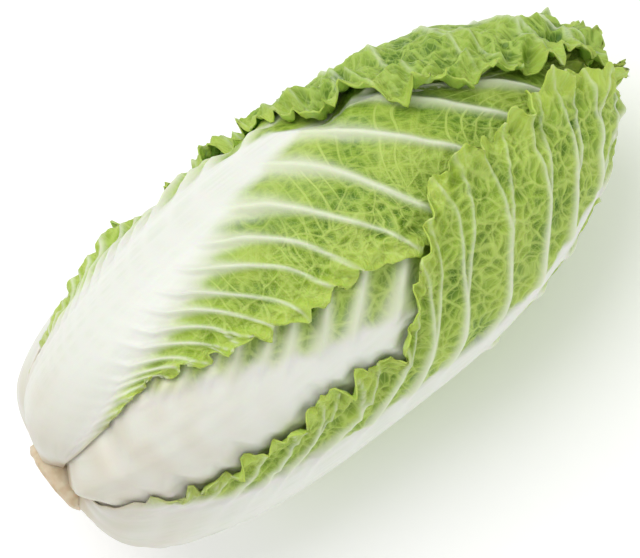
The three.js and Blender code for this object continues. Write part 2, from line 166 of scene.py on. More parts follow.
def lowerCeiling(along, azimuth, height):
    row, column = np.floor(along / mapStep).astype(int), np.floor(azimuth / mapStep).astype(int)
    for down, over in ((0, 0), (0, 1), (1, 0), (1, 1)):  # all four cells that roomUnder reads there
        cells = np.clip(row + down, 0, ceiling.shape[0] - 1), (column + over) % ceiling.shape[1]
        np.minimum.at(ceiling, tuple(cell.ravel() for cell in cells), height.ravel())
    roundStep = radiusAt(np.arange(ceiling.shape[0]) * mapStep)[:, None] * mapStep * deg
    for _ in range(spreadRounds):
        spread = ceiling.copy()
        spread[1:] = np.minimum(spread[1:], ceiling[:-1] + tuckSlope * mapStep)
        spread[:-1] = np.minimum(spread[:-1], ceiling[1:] + tuckSlope * mapStep)
        for step in (1, -1):
            spread = np.minimum(spread, np.roll(ceiling, step, axis=1) + tuckSlope * roundStep)
        if np.allclose(spread, ceiling):
            break
        ceiling[:] = spread


def roomUnder(along, azimuth, gap):
    row = np.clip(along / mapStep, 0, ceiling.shape[0] - 1.001)
    column = (azimuth / mapStep) % ceiling.shape[1]
    j, i = np.floor(row).astype(int), np.floor(column).astype(int)
    v, u = row - j, column - i
    i, following = i % ceiling.shape[1], (i + 1) % ceiling.shape[1]
    low = ceiling[j, i] * (1 - u) + ceiling[j, following] * u
    high = ceiling[j + 1, i] * (1 - u) + ceiling[j + 1, following] * u
    return low * (1 - v) + high * v - gap


def pointsOf(mesh):
    flat = np.empty(len(mesh.vertices) * 3)
    mesh.vertices.foreach_get("co", flat)
    return flat.reshape(-1, 3)


def paint(mesh, values):
    # Stores what the materials read at each point.
    for key, value in values.items():
        isVector = value.ndim == 2
        layer = mesh.attributes.new(key, "FLOAT_VECTOR" if isVector else "FLOAT", "POINT")
        layer.data.foreach_set("vector" if isVector else "value", value.ravel())


def putPiece(mesh, spots):
    # Sets the mesh's points, given in mm, and puts it in the scene under its own name.
    mesh.vertices.foreach_set("co", (spots * mm).ravel())
    mesh.update()
    mesh.shade_smooth()
    piece = bpy.data.objects.new(mesh.name, mesh)
    bpy.context.collection.objects.link(piece)
    return piece


def gridShell(name, top, under, values):
    # A closed sheet: two grids, one turned over, bridged round the rim and then set on their own points.
    rows, columns = top.shape[:2]
    bm = bmesh.new()
    bmesh.ops.create_grid(bm, x_segments=columns - 1, y_segments=rows - 1, size=1)
    copy = bmesh.ops.duplicate(bm, geom=bm.verts[:] + bm.edges[:] + bm.faces[:])["geom"]
    lower = [part for part in copy if isinstance(part, bmesh.types.BMVert)]
    bmesh.ops.translate(bm, verts=lower, vec=(0, 0, -0.5))
    bmesh.ops.reverse_faces(bm, faces=[part for part in copy if isinstance(part, bmesh.types.BMFace)])
    bmesh.ops.bridge_loops(bm, edges=[edge for edge in bm.edges if edge.is_boundary])
    mesh = bpy.data.meshes.new(name)
    bm.to_mesh(mesh)
    bm.free()

    flat = pointsOf(mesh)
    column = np.rint((flat[:, 0] + 1) / 2 * (columns - 1)).astype(int)
    row = np.rint((flat[:, 1] + 1) / 2 * (rows - 1)).astype(int)
    isUnder = flat[:, 2] < -0.25
    paint(mesh, {key: value[row, column] for key, value in values.items()})
    return putPiece(mesh, np.where(isUnder[:, None], under[row, column], top[row, column]))


def finishPiece(piece, node, material):
    piece.data.materials.clear()
    piece.data.materials.append(material)
    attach(piece, "root")
    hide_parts(node)
    print(piece.name, "made,", sum(len(face.vertices) - 2 for face in piece.data.polygons), "triangles")


def linear(hexColour):
    values = [int(hexColour[i:i + 2], 16) / 255 for i in (1, 3, 5)]
    return tuple(v / 12.92 if v <= 0.04045 else ((v + 0.055) / 1.055) ** 2.4 for v in values) + (1.0,)


def addNode(tree, kind, settings=None, inputs=None, links=None):
    made = tree.nodes.new(kind)
    for key, value in (settings or {}).items():
        setattr(made, key, value)
    for key, value in (inputs or {}).items():
        made.inputs[key].default_value = value
    for key, source in (links or {}).items():
        tree.links.new(source, made.inputs[key])
    return made


cellEdges = {"feature": "DISTANCE_TO_EDGE", "voronoi_dimensions": "2D"}


def cellBorders(spots, cell):
    # Distance in mm from the border of the nearest cell of the vein net. It is the same pattern that the
    # leaf material draws, read off here so that the blade can sink between its lines.
    mesh = bpy.data.meshes.new("netProbe")
    mesh.vertices.add(len(spots))
    mesh.vertices.foreach_set("co", np.ascontiguousarray(spots).ravel())
    probe = bpy.data.objects.new("netProbe", mesh)
    bpy.context.collection.objects.link(probe)
    tree = bpy.data.node_groups.new("netProbe", "GeometryNodeTree")
    for way in ("INPUT", "OUTPUT"):
        tree.interface.new_socket("Geometry", in_out=way, socket_type="NodeSocketGeometry")
    position = addNode(tree, "GeometryNodeInputPosition").outputs[0]
    cells = addNode(tree, "ShaderNodeTexVoronoi", cellEdges, {"Scale": 1 / cell, "Randomness": netRandomness},
                    {"Vector": position})
    points = addNode(tree, "NodeGroupInput").outputs[0]
    store = addNode(tree, "GeometryNodeStoreNamedAttribute", {"data_type": "FLOAT", "domain": "POINT"},
                    {"Name": "border"}, {"Geometry": points, "Value": cells.outputs["Distance"]})
    addNode(tree, "NodeGroupOutput", links={0: store.outputs[0]})
    probe.modifiers.new("netProbe", "NODES").node_group = tree
    measured = probe.evaluated_get(bpy.context.evaluated_depsgraph_get()).data
    border = np.empty(len(spots))
    measured.attributes["border"].data.foreach_get("value", border)
    bpy.data.objects.remove(probe)
    bpy.data.meshes.remove(mesh)
    bpy.data.node_groups.remove(tree)
    return border * cell


# Leaf tissue: a thin wet cuticle over pale pulp. It is slightly glossy and lets light in a few
# millimetres, so hollows glow green, and the water-filled ribs look milky.
leafColours = {
    "hollow": "#567f0c",   # the low places between veins: darker green, partly painted shade
    "tissue": "#9bba3c",
    "margin": "#c6da5e",
    "net": "#c0d86a",
    "vein": "#e4ecce",
    "rib": "#eceee5",
    "groove": "#dbe3cf",   # between the ribs' fibres
    "foot": "#d3c4aa",     # dried and bruised, next to the stem
}


def leafMaterial(name, colours, finish):
    material = bpy.data.materials.new(name)
    material.use_nodes = True
    tree = material.node_tree
    tree.nodes.clear()
    out = addNode(tree, "ShaderNodeOutputMaterial")
    skin = addNode(tree, "ShaderNodeBsdfPrincipled", inputs={
        "IOR": 1.42, "Subsurface Weight": finish["subsurface"], "Subsurface Radius": (0.5, 1.0, 0.25),
        "Subsurface Scale": 2.5 * mm, "Coat Weight": 0.06, "Coat Roughness": 0.25,
    })
    tree.links.new(skin.outputs[0], out.inputs[0])
    spot = addNode(tree, "ShaderNodeTexCoord").outputs["Object"]

    def read(key):
        return addNode(tree, "ShaderNodeAttribute", {"attribute_name": key}).outputs["Fac"]

    def remap(value, low, high, toLow, toHigh):
        return addNode(tree, "ShaderNodeMapRange", {"interpolation_type": "SMOOTHSTEP"}, {
            "From Min": low, "From Max": high, "To Min": toLow, "To Max": toHigh,
        }, {"Value": value}).outputs[0]

    def blend(share, first, second):
        made = addNode(tree, "ShaderNodeMix", {"data_type": "RGBA"}, links={"Factor": share})
        for socket, colour in ((made.inputs[6], first), (made.inputs[7], second)):
            if isinstance(colour, str):
                socket.default_value = linear(colour)
            else:
                tree.links.new(colour, socket)
        return made.outputs[2]

    def work(operation, first, second):
        made = addNode(tree, "ShaderNodeMath", {"operation": operation}, links={0: first})
        if isinstance(second, (int, float)):
            made.inputs[1].default_value = second
        else:
            tree.links.new(second, made.inputs[1])
        return made.outputs[0]

    pale, darkGreenAndShade, rim, foot, green = (read(key) for key in ("pale", "darkGreenAndShade", "rim", "foot", "green"))
    netOn, slantOn = read("netOn"), read("slantOn")
    weave = addNode(tree, "ShaderNodeAttribute", {"attribute_name": "weave"}).outputs["Vector"]

    def noise(size, detail):
        made = addNode(tree, "ShaderNodeTexNoise", inputs={"Scale": 1 / (size * mm), "Detail": detail},
                       links={"Vector": spot})
        return made.outputs[0]

    def veinLines(cell, randomness, core, rim):
        # Lines along the borders of cells, full up to core mm from the border and gone at rim mm.
        cells = addNode(tree, "ShaderNodeTexVoronoi", cellEdges, {"Scale": 1 / cell, "Randomness": randomness},
                        {"Vector": weave})
        return remap(cells.outputs["Distance"], core / cell, rim / cell, 1, 0)

    patches, grain = noise(finish["patchSize"], 3.0), noise(finish["grainSize"], 2.0)

    # The net of small veins, the finest veins inside its cells, and the slanting veins between laterals.
    netShare = work("MULTIPLY", netOn, remap(patches, 0.3, 0.62, 0.3, 1))
    netLine = work("MULTIPLY", veinLines(netCell, netRandomness, 0.2, 1.4), netShare)
    fineLine = work("MULTIPLY", veinLines(fineCell, 1.0, 0.078, 0.416), netOn)
    wideLine = work("MULTIPLY", veinLines(wideCell, 1.0, 0.3, 1.2), netOn)
    slantLine = remap(work("PINGPONG", read("slant"), 0.5), 0.3 / slantGap, 0.95 / slantGap, 1, 0)
    slantLine = work("MULTIPLY", slantLine, slantOn)
    line = work("MAXIMUM", work("MULTIPLY", netLine, 0.7), work("MAXIMUM", slantLine, wideLine))

    # Darker green in the low places, partly the tissue's own and partly painted shade.
    tissue = blend(darkGreenAndShade, colours["tissue"], colours["hollow"])
    tissue = blend(remap(patches, 0.35, 0.7, 0, 0.4), tissue, colours["margin"])
    tissue = blend(work("MULTIPLY", rim, 0.75), tissue, colours["margin"])
    tissue = blend(work("MULTIPLY", fineLine, 0.4), tissue, colours["net"])
    tissue = blend(work("MULTIPLY", line, 0.85), tissue, colours["net"])

    # The ribs' fibres run along the leaf, and are far longer than wide.
    drawnOut = addNode(tree, "ShaderNodeVectorMath", {"operation": "MULTIPLY"}, {1: (0.012, 0.0, 0.28)},
                       {0: weave})
    fibres = addNode(tree, "ShaderNodeTexNoise", inputs={"Scale": 1.0, "Detail": 3.0},
                     links={"Vector": drawnOut.outputs[0]})
    rib = blend(remap(fibres.outputs[0], 0.38, 0.62, 0.35, 0), colours["rib"], colours["groove"])
    tissue = blend(green, rib, tissue)
    tissue = blend(pale, tissue, blend(green, colours["rib"], colours["vein"]))
    tissue = blend(foot, tissue, colours["foot"])
    tree.links.new(tissue, skin.inputs["Base Color"])

    roughness = remap(green, 0, 1, finish["ribRoughness"], finish["bladeRoughness"])
    tree.links.new(roughness, skin.inputs["Roughness"])
    relief = work("MULTIPLY", work("ADD", work("MULTIPLY", fineLine, 0.6), line), green)
    relief = work("MULTIPLY", relief, remap(pale, 0, 1, 1, 0.15))
    relief = work("ADD", relief, work("MULTIPLY", grain, 0.35))
    relief = work("ADD", relief, work("MULTIPLY", fibres.outputs[0], 0.9))
    bump = addNode(tree, "ShaderNodeBump", None, {"Strength": 0.6, "Distance": 0.3 * mm}, {"Height": relief})
    tree.links.new(bump.outputs[0], skin.inputs["Normal"])
    return material


leafFinish = {
    "subsurface": 0.2, "ribRoughness": 0.36, "bladeRoughness": 0.46,
    "patchSize": 18.0,   # mm across the paler patches
    "grainSize": 1.1,    # mm across the cuticle's finest unevenness
}
wrapperSkin = leafMaterial("wrapperLeafTissue", leafColours, leafFinish)
outerSkin = leafMaterial("outerLeafTissue", {  # the oldest leaves are the greenest
    **leafColours, "hollow": "#4d770a", "tissue": "#90b13a", "margin": "#c2d85e", "net": "#b4cf62",
}, leafFinish)
innerSkin = leafMaterial("innerLeafTissue", {
    **leafColours, "hollow": "#7f9a2c", "tissue": "#b6c95e", "margin": "#c4d455", "net": "#dbe3a4",
}, leafFinish)
print("leaf materials ready")


# Wavelengths in mm of the margins and ribs.
waves = {
    "nick": (21.0, 13.0), "lobe": 9.5, "tooth": 4.9, "slow": (41.0, 27.0), "long": (25.0, 17.5),
    "middle": (11.5, 8.6), "short": (6.4, 5.2), "roll": (29.0, 14.0), "fluting": (10.5, 7.1),
}


def layVeins(leaf, row, blade, side, stretch, fromRib):
    # Lateral veins follow the rows, thin out and fork. Small veins slant from each to the next.
    draw = np.random.default_rng(leaf["seed"] + 5)
    vein, paleVein, ladder, slant = (np.zeros(stretch.shape) for _ in range(4))
    veinGap = np.full(stretch.shape, 1e3)
    veinList = leaf["veins"]
    for sideSign in (-1, 1):
        onSide = side == sideSign
        spread = leaf["veinSpread"] * (leaf["leftSpread"] if sideSign < 0 else 1)
        for k, start in enumerate(veinList):
            following = veinList[k + 1] if k + 1 < len(veinList) else leaf["tip"] + 10
            space = following - start
            start = start + draw.uniform(-0.12, 0.12) * space
            forkAt = draw.uniform(*leaf["forkAt"])
            forked = draw.uniform() < leaf["forkShare"]
            sway, phase = draw.uniform(3, 6), draw.uniform(0, 6)
            course = start + 0.07 * space * np.sin(blade * sway + phase)
            for branch in ((-1, 1) if forked else (0,)):
                apart = np.clip((blade - forkAt) / (1 - forkAt), 0, 1) ** 0.85 * space * 0.27 * branch
                thinner = np.where((blade > forkAt) & forked, 0.74, 1.0)
                width = leaf["veinWidth"] * (1 - 0.62 * blade) * thinner
                width = width * np.clip(space / 20, 0.55, 1.05)
                nearFoot = np.clip((250 - row) / 110, 0.12, 1)
                paleWidth = width + spread * nearFoot * space * np.clip(1 - blade / 0.4, 0, 1) ** 2
                off = (row - (course + apart)) * stretch
                vein = np.maximum(vein, np.exp(-(off / width) ** 2) * onSide)
                paleVein = np.maximum(paleVein, np.exp(-(off / paleWidth) ** 2) * onSide)
                slope = 0.3 * space * stretch + 0.1
                ladder = np.maximum(ladder, np.exp(-np.abs(off / slope) ** 1.5) * onSide)
                veinGap = np.where(onSide, np.minimum(veinGap, np.maximum(0, np.abs(off) - width)), veinGap)
            leaned = fromRib + leaf["slantLean"] * (row - course) * stretch
            slant = np.where(onSide & (row >= course), leaned / slantGap + draw.uniform(0, 1), slant)
    return vein, paleVein, veinGap, ladder, slant


def ruffle(leaf, run, toEdge, edgeZone, nearZone):
    # Waves of the margin in mm off the leaf, shorter and steeper towards the edge.
    slow = np.clip(0.85 + 0.5 * ripple(run, waves["slow"], leaf["seed"] + 10), 0.3, 1.4)
    longWave = np.tanh(1.5 * ripple(run + 0.25 * toEdge, waves["long"], leaf["seed"] + 11))
    midWave = 0.8 * np.tanh(1.8 * ripple(run, waves["middle"], leaf["seed"] + 12))
    shortWave = ripple(run, waves["short"], leaf["seed"] + 13)
    broad = edgeZone ** 1.3 * (0.55 + 0.6 * longWave) + nearZone * (0.15 + 0.6 * midWave)
    return leaf["frill"] * slow * broad + leaf["frill"] * 0.16 * shortWave * nearZone ** 1.5


def crumple(leaf, flatSpots, green, toEdge):
    # Swells, creases and fine bubbles of the blade in mm, the finer ones near the margin.
    broad, middling, creaseWave, creaseFine, fine = (
        swell(flatSpots, wavelength, leaf["seed"] + step)
        for wavelength, step in ((27, 14), (13, 15), (24, 21), (13, 22), (6.5, 23))
    )
    crinkle = leaf["crinkle"] * (broad + (0.4 + 0.6 * ease(45, 8, toEdge)) * middling) * green
    crease = 0.5 - np.abs(creaseWave) + 0.5 * (0.5 - np.abs(creaseFine))
    crinkle = crinkle + leaf["crease"] * crease * green * ease(50, 10, toEdge)
    return crinkle + leaf["bubble"] * fine * green * ease(26, 5, toEdge)


def sheetNormals(top, up):
    # The sheet's own normals, turned towards the outline's where the sheet folds over.
    faceOut = np.cross(np.gradient(top, axis=1), np.gradient(top, axis=0))
    faceOut /= np.maximum(1e-9, np.linalg.norm(faceOut, axis=-1, keepdims=True))
    faceOut = faceOut * ease(-0.2, 0.3, (faceOut * up).sum(-1))[..., None] + 0.3 * up
    return faceOut / np.linalg.norm(faceOut, axis=-1, keepdims=True)


def growLeaf(leaf):
    # A leaf is a grid. Its rows leave the rib and run out to both margins, as the lateral veins do.
    along = [leaf["start"]]
    while along[-1] < leaf["tip"]:
        along.append(along[-1] + float(np.interp(along[-1], *zip(*leaf["rowSpacing"]))))
    along[-1] = leaf["tip"]
    row = np.array(along)[:, None]
    leftCount, ribCount, rightCount = leaf["columns"]
    blade = np.concatenate([np.arange(leftCount, 0, -1) / leftCount, np.zeros(ribCount + 1),
                            np.arange(1, rightCount + 1) / rightCount])[None, :]
    blade = 1 - (1 - blade) ** leaf["crowding"]
    ribTurn = np.linspace(-1, 1, ribCount + 1)
    across = np.concatenate([-np.ones(leftCount), ribTurn, np.ones(rightCount)])[None, :]
    inRib = np.where(blade > 0, 1.0, np.abs(across))
    side = np.where(across < 0, -1.0, 1.0)
    seed = leaf["seed"]

    # Margins: a smooth path on or near the solid's, nicked and toothed except at the stem.
    edgeAlong = through(leaf["reach"], row)
    ribAzimuth = through(leaf["rib"], row)
    frilly = ease(*leaf["frillFrom"], edgeAlong)
    nicks = ripple(edgeAlong * side, waves["nick"], seed) * 1.2
    nicks = nicks + 2.0 * lobes(edgeAlong * side, waves["lobe"], seed + 1)
    nicks = nicks + 0.5 * lobes(edgeAlong * side, waves["tooth"], seed + 2)
    edgeMid = np.where(side < 0, through(leaf["left"], edgeAlong), through(leaf["right"], edgeAlong))
    nick = side * frilly * leaf["nick"] * nicks / radiusAt(edgeAlong) / deg

    room = np.abs(edgeMid - ribAzimuth) * deg * radiusAt(edgeAlong)
    ribHalf = np.minimum(through(leaf["ribHalf"], row), 0.8 * room)
    ribSpan = ribHalf / radiusAt(row) / deg
    lead = 1 - (1 - blade) ** leaf["bend"]
    leaving = ((edgeAlong - row) / np.maximum(12, room))[:, [0, -1]]
    leaving = leaving.mean(axis=1, keepdims=True) * leaf["bend"]
    s = row + (edgeAlong - row) * lead - 0.5 * leaving * ribHalf * (1 - inRib ** 2)
    bladeSpan = edgeMid - ribAzimuth - side * ribSpan
    turn = ribAzimuth + side * inRib * ribSpan + bladeSpan * blade + nick * blade ** 5
    s = s + 1.8 * swell(place(s, turn, 0 * s), 46, seed + 4) * blade * (1 - ease(0.75, 1, blade))

    flatSpots = place(s, turn, 0 * s)
    steps = np.linalg.norm(np.diff(flatSpots, axis=1), axis=-1)
    walked = np.concatenate([np.zeros((len(along), 1)), np.cumsum(steps, axis=1)], axis=1)
    middle = leftCount + ribCount // 2
    fromRib = np.abs(walked - walked[:, middle:middle + 1])
    toTip = leaf["tip"] - row
    toEdge = np.minimum(np.where(side < 0, walked, walked[:, -1:] - walked), toTip)
    rowPull = np.gradient(flatSpots, np.array(along), axis=0)
    rowRun = np.gradient(flatSpots, axis=1)
    rowRun /= np.maximum(1e-6, np.linalg.norm(rowRun, axis=-1, keepdims=True))
    stretch = np.linalg.norm(np.cross(rowPull, rowRun), axis=-1)  # mm off the row for each mm along the rib
    acrossMm = (turn - ribAzimuth.mean()) * deg * radiusAt(s)
    weave = np.stack([s, acrossMm], axis=-1)
    weave = weave + 1.2 * np.stack([swell(flatSpots, 15, seed + 6), swell(flatSpots, 15, seed + 7)], axis=-1)
    weave = np.concatenate([weave, acrossMm[..., None]], axis=-1) * netCell / leaf["netCell"]

    vein, paleVein, veinGap, ladder, slant = layVeins(leaf, row, blade, side, stretch, fromRib)
    slant = slant + 0.12 * swell(flatSpots, 18, seed + 8)

    # Where the blade is green: it starts away from the rib near the stem, and at the rib further up.
    greenFrom = through(leaf["greenFrom"], row)
    patchy = swell(flatSpots, 16, seed + 9)
    green = ease(greenFrom, greenFrom + through(leaf["greenFade"], row), (fromRib - ribHalf) + 1.6 * patchy)
    green = np.maximum(green, ease(leaf["tip"] - 60, leaf["tip"] - 25, row))
    slantPatches = np.clip(0.8 + 0.5 * swell(flatSpots, 30, seed + 19), 0.2, 1)
    slantOn = leaf["slantOn"] * ease(0.0, 0.1, blade) * slantPatches
    netOn = leaf["netOn"] + (1 - leaf["netOn"]) * ease(0.1, 0.55, blade) + 0 * s
    net = cellBorders(weave.reshape(-1, 3), netCell).reshape(s.shape) * leaf["netCell"] / netCell
    slantNear = np.abs(slant - np.rint(slant)) * slantGap * 0.75
    border = np.minimum(np.minimum(net, veinGap), np.where(slantOn > 0.3, slantNear, 9.0))
    hollow = 1 - np.exp(-(border / 1.8) ** 1.4)

    # Heights off the outline: the rib bows out, the margins ruffle, and the blade is crumpled between veins.
    stalk = np.clip((200 - row) / 120, 0, 1)
    turnShare = np.abs(turn - ribAzimuth) / np.maximum(1, np.abs(edgeMid - ribAzimuth))
    bow = stalk * (1.5 - 5 * turnShare ** 2)
    flare = through(leaf["flareLeft"], s) * (side < 0) + through(leaf["flareRight"], s) * (side > 0)
    frillLeft, frillRight = through(leaf["frillLeft"], edgeAlong), through(leaf["frillRight"], edgeAlong)
    frilly = frilly * np.where(side < 0, frillLeft, frillRight)
    edgeZone = np.clip(1 - toEdge / leaf["frillWidth"], 0, 1) * frilly
    atTip = ease(16, 4, toTip)
    run = side * edgeAlong * (1 - atTip) + acrossMm * atTip + 2.5 * swell(flatSpots, 20, seed + 20)
    nearZone = np.clip(1 - toEdge / (0.6 * leaf["frillWidth"]), 0, 1) ** 1.4 * frilly
    frill = ruffle(leaf, run, toEdge, edgeZone, nearZone)
    lift = through(leaf["lift"], s) + flare * edgeZone ** 1.3 - leaf["footDrop"] * ease(54, 20, s) ** 1.5
    ribRise = through(leaf["ribRise"], row) * (1 - np.abs(across) ** 2) * (blade == 0)
    crinkle = crumple(leaf, flatSpots, green, toEdge)
    sink = leaf["hollowDepth"] * hollow * green * netOn * (0.7 + 0.5 * ease(0, 0.6, blade))
    # The veins' relief ends just inside the rib.
    veinRise = leaf["veinRise"] * vein * np.where(blade > 0, 1 - 0.6 * blade, inRib ** 6)
    veinRise = veinRise + leaf["ladderRise"] * ladder * ease(0, 0.15, blade)
    veinRise = veinRise * (0.1 + 0.9 * ease(70, 125, s))
    fluting = leaf["fluting"] * ripple(acrossMm + 0.04 * s, waves["fluting"], seed + 16) * (1 - green) * stalk
    height = lift + bow + frill + ribRise + crinkle - sink + veinRise + fluting

    # The ruffles lean over and the margin rolls outwards over its last few millimetres.
    s = s + leaf["frill"] * 0.2 * nearZone * ripple(run + 2.9, waves["middle"], seed + 12) * (1 - atTip)
    rollAngle = leaf["roll"] * (0.5 + 1.1 * ripple(run + 3, waves["roll"], seed + 17)) * frilly
    rollAngle = np.clip(rollAngle, 0.02, 1.5)
    rolled = np.clip(leaf["rollWidth"] - toEdge, 0, leaf["rollWidth"]) * (1 - atTip)
    bend = leaf["rollWidth"] / rollAngle
    height = height + bend * (1 - np.cos(rolled / bend))
    turn = turn - side * (rolled - bend * np.sin(rolled / bend)) / radiusAt(s) / deg

    # It stays under the leaves already laid and above the floor, and the next ones stay under it.
    free = np.minimum(roomUnder(s, turn, leaf["gap"]), floorLimit(s, turn))
    height = np.minimum(height, free)
    top = place(s, turn, height)
    up = outward(s, turn)
    faceOut = sheetNormals(top, up)
    ribShare = np.where(blade > 0, 0, 1 - np.abs(across) ** 2) ** 0.6
    flesh = leaf["sheet"] + through(leaf["ribFlesh"], row) * ribShare
    flesh = flesh + 0.5 * vein * green
    under = top - faceOut * flesh[..., None]
    under[..., 2] = np.maximum(under[..., 2], 0.3)
    top[..., 2] = np.maximum(top[..., 2], 0.0)
    dip = flesh * np.clip((faceOut * up).sum(-1), 0.3, 1) + 0.2
    lowerCeiling(s, turn, height - dip)

    foot = leaf["footTint"] * ease(leaf["footReach"], 22, s) * (0.75 + 0.25 * np.clip(patchy, -1, 1))
    foot = foot + 0.4 * ease(32, 22, s) + leaf["footTint"] * 0.8 * ease(3.0, 0.0, toEdge) * ease(90, 40, s)
    # Painted shade, besides the tissue's own darker green: the colour darkens in the net's hollows, in the
    # panels between laterals, where the crinkles dip, and along stretches listed for each leaf.
    darkAndShadeShare = 0.45 + through(leaf["darkerAndShadedStretches"], s) + leaf["mottle"] * swell(flatSpots, 22, seed + 18)
    darkAndShadeShare = darkAndShadeShare + 0.25 * (1 - ladder)
    values = {
        "pale": np.clip(leaf["paleVeins"] * paleVein * np.clip(1.2 - leaf["veinFade"] * blade, 0, 1), 0, 1),
        "darkGreenAndShade": np.clip(hollow * darkAndShadeShare + leaf["shade"] * ease(0.3, -2.2, crinkle), 0, 1),
        "rim": np.maximum(ease(15, 1, toEdge), 0.6 * ease(160, 60, s)),
        "foot": np.clip(foot, 0, 1),
        "green": green,
        "slant": slant,
        "netOn": netOn,
        "slantOn": slantOn,
        "weave": weave,
    }
    print(leaf["name"], "laid,", len(along), "rows")
    return gridShell(leaf["name"], top, under, values)


# Pairs are (distance along the head, value), in mm and degrees about the axis. A pair of reach says where
# the row that leaves the rib at the first distance meets the margin.
wrapperLeaf = {
    "ribHalf": [[20, 11], [50, 22], [85, 28], [125, 27], [165, 20], [200, 14], [235, 7], [270, 4], [330, 2]],
    "ribRise": [[20, 1], [60, 2.5], [150, 2], [220, 1.5], [300, 0.6]],
    "ribFlesh": [[20, 6.5], [60, 8], [110, 7], [170, 5], [230, 3], [300, 1]],
    "reach": [[16, 16], [22, 22], [50, 62], [92, 122], [116, 150], [140, 178], [164, 206], [188, 232],
              [212, 256], [240, 282], [270, 306], [300, 326], [325, 340], [348, 345]],
    "bend": 1.8,                # how soon a row turns towards the tip
    "crowding": 1.0,            # above 1 the columns crowd towards the margins
    "sheet": 0.7,               # thickness of the blade
    "gap": 0.5,                 # left to the leaf above
    "footDrop": 5.0,
    "greenFrom": [[40, 14], [90, 10], [130, 5], [170, 1], [240, -2]],   # off the rib
    "greenFade": [[40, 16], [120, 13], [200, 7], [300, 5]],
    "hollowDepth": 1.8, "crinkle": 0.9, "crease": 0.6, "bubble": 0.45, "fluting": 0.35,
    "veinWidth": 1.9, "veinRise": 1.6, "ladderRise": 0.9,
    "forkAt": (0.35, 0.6), "forkShare": 0.6,
    "veinSpread": 0.15, "leftSpread": 1.0,      # how far a vein's white widens at the rib
    "paleVeins": 1.0, "veinFade": 0.5,          # how white veins are, and how much less at the margin
    "netCell": netCell, "netOn": 0.8,           # the net's strength next to the rib; it is 1 further out
    "slantLean": 1.0, "slantOn": 0.0,
    "shade": 0.35, "mottle": 0.35, "darkerAndShadedStretches": [[0, 0]],      # painted shade where the blade dips, darker patches, and stretches darker in tone and in painted shade
    "footTint": 0.5, "footReach": 95,
    "frill": 4.5, "frillWidth": 17.0, "frillFrom": (62, 118), "nick": 1.0,
    "frillLeft": [[0, 1]], "frillRight": [[0, 1]],
    "flareLeft": [[0, 0]], "flareRight": [[0, 0]],
    "roll": 1.0, "rollWidth": 6.0,
    "rowSpacing": [[20, 1.8], [80, 1.3], [120, 1.1], [340, 1.0]],
}

undersideLeaf = {
    **wrapperLeaf,
    "name": "undersideLeaf", "seed": 101, "start": 18, "tip": 344,
    "rib": [[22, 161], [70, 170], [130, 178], [200, 180], [320, 180]],
    "left": [[22, 128], [70, 126], [140, 125], [200, 121], [240, 113], [300, 114], [345, 142]],
    "right": [[22, 192], [70, 206], [140, 216], [200, 220], [240, 232], [300, 234], [345, 212]],
    "lift": [[0, 0]], "frill": 1.4, "roll": 0.2, "nick": 0.7, "frillLeft": [[0, 0.3]],
    "veins": [84, 98, 113, 130, 150, 172, 196, 222, 250, 280],
    "columns": (44, 16, 44), "rowSpacing": [[20, 2.0], [340, 1.7]],
}

frontSideLeaf = {
    **wrapperLeaf,
    "name": "frontSideLeaf", "seed": 211, "start": 18, "tip": 348,
    "rib": [[22, 92], [52, 96], [86, 106], [124, 107], [176, 102], [214, 97], [250, 91], [284, 87], [320, 84]],
    "left": [[22, 57], [49, 58], [65, 60], [76, 63], [96, 65], [122, 60], [159, 58], [182, 62], [196, 52],
             [208, 40], [224, 27], [240, 17], [269, 19], [300, 14], [324, 26], [340, 56]],
    "right": [[22, 130], [70, 136], [140, 140], [200, 146], [240, 158], [300, 160], [330, 140], [350, 118]],
    "lift": [[0, 2], [90, 1.5], [160, -0.5], [230, 1], [300, 2], [350, -1]],
    "flareLeft": [[0, 0], [180, 0], [210, 0.5], [300, 1]],
    "veins": [62, 74, 87, 101, 116, 133, 152, 172, 194, 217, 242, 268, 294, 318],
    "veinWidth": 1.6, "veinFade": 0.85, "forkShare": 0.85, "forkAt": (0.3, 0.55), "netCell": 5.6,
    "frill": 5.0, "roll": 1.5, "nick": 2.0, "frillFrom": (30, 90),
    "frillLeft": [[0, 0.75], [170, 0.8], [215, 1]], "frillRight": [[0, 0.4]],
    "crease": 1.6, "bubble": 0.7, "hollowDepth": 1.9, "darkerAndShadedStretches": [[0, 0.2]], "shade": 0.8, "footReach": 110,
    "greenFrom": [[40, 8], [90, 6], [130, 4], [170, 1], [240, -2]],
    "greenFade": [[40, 10], [120, 10], [200, 7], [300, 5]],
    "columns": (100, 16, 28), "crowding": 1.25,
}

